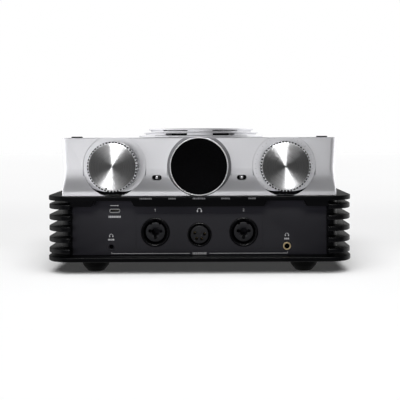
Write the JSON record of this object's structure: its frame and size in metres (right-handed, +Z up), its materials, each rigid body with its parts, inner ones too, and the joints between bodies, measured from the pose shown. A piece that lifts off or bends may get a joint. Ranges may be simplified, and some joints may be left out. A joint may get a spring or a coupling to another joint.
{
  "type": "headphone amplifier",
  "caption": "Desktop headphone amplifier: silver housing with two dials, a round display and mini levers, on a black finned base with front sockets.",
  "frame": {"origin": "on the floor under the middle of the object's box", "axes": "+Z up, -Y towards the person using it, +X to that person's right"},
  "size_m": [0.256, 0.185, 0.121],
  "materials": {
    "silver": "bead-blasted and clear anodised",
    "knob_metal": "spun face, knurled rim",
    "black_anodised": "black anodised, satin",
    "panel_black": "black anodised, fine satin",
    "display_black": "polished black window",
    "socket_plastic": "moulded black",
    "socket_insert": "moulded dark grey",
    "inner_plastic": "moulded black",
    "rubber": "soft matt rubber",
    "gold": "gold plated",
    "steel": "nickel plated",
    "circuit_board": "green solder resist",
    "capacitor_sleeve": "shrink sleeve"
  },
  "bodies": {
    "chassis": {"upper_housing": "silver", "vent_plate_lower": "silver", "vent_plate_middle": "silver", "vent_plate_upper": "silver", "display_barrel": "silver", "bottom_plate": "black_anodised", "top_plate": "black_anodised", "heatsink_left": "black_anodised", "heatsink_right": "black_anodised", "vent_mesh": "black_anodised", "front_panel": "panel_black", "rear_panel": "panel_black", "display_glass": "display_black", "combo_jack_shell_left": "socket_plastic", "combo_jack_shell_right": "socket_plastic", "balanced_socket_shell": "socket_plastic", "small_headphone_jack": "socket_plastic", "large_headphone_jack": "socket_plastic", "power_inlet": "socket_plastic", "top_cap_left": "socket_plastic", "top_cap_right": "socket_plastic", "combo_jack_insert_left": "socket_insert", "combo_jack_insert_right": "socket_insert", "balanced_socket_insert": "socket_insert", "display_module": "inner_plastic", "selector_encoder": "inner_plastic", "switch_body_left": "inner_plastic", "switch_body_right": "inner_plastic", "output_device_left": "inner_plastic", "output_device_right": "inner_plastic", "foot_front_left": "rubber", "foot_front_right": "rubber", "foot_rear_left": "rubber", "foot_rear_right": "rubber", "gold_jack_ring": "gold", "phono_socket_left_lower": "gold", "phono_socket_left_upper": "gold", "phono_socket_right_lower": "gold", "phono_socket_right_upper": "gold", "usb_c_socket": "steel", "usb_b_socket": "steel", "balanced_output_left": "steel", "balanced_output_right": "steel", "selector_nut": "steel", "volume_nut": "steel", "volume_potentiometer": "steel", "main_board": "circuit_board", "control_board": "circuit_board", "driver_board": "circuit_board", "filter_capacitor_left": "capacitor_sleeve", "filter_capacitor_right": "capacitor_sleeve", "coupling_capacitor_left": "capacitor_sleeve", "coupling_capacitor_right": "capacitor_sleeve"},
    "selector_push": {"selector_plunger": "inner_plastic"},
    "selector_dial": {"selector_knob": "knob_metal", "selector_shaft": "steel"},
    "volume_dial": {"volume_knob": "knob_metal", "volume_shaft": "steel"},
    "left_lever": {"switch_lever_left": "knob_metal"},
    "right_lever": {"switch_lever_right": "knob_metal"}
  },
  "joints": [
    {"name": "selector_press", "type": "slide", "parent": "chassis", "child": "selector_push", "axis": [0, 1, 0], "range_m": [0, 0.0007], "stiffness_N_per_m": 800, "springref_m": -0.001},
    {"name": "selector_turn", "type": "hinge", "parent": "selector_push", "child": "selector_dial", "pos_m": [-0.0712, -0.085, 0.0891], "axis": [0, 1, 0], "continuous": true},
    {"name": "volume_turn", "type": "hinge", "parent": "chassis", "child": "volume_dial", "pos_m": [0.0712, -0.085, 0.0891], "axis": [0, 1, 0], "range_deg": [0, 288]},
    {"name": "left_lever_swing", "type": "hinge", "parent": "chassis", "child": "left_lever", "pos_m": [-0.0356, -0.0685, 0.0794], "axis": [0, 0, 1], "range_deg": [-10, 10]},
    {"name": "right_lever_swing", "type": "hinge", "parent": "chassis", "child": "right_lever", "pos_m": [0.0356, -0.0685, 0.0794], "axis": [0, 0, 1], "range_deg": [-10, 10]}
  ]
}
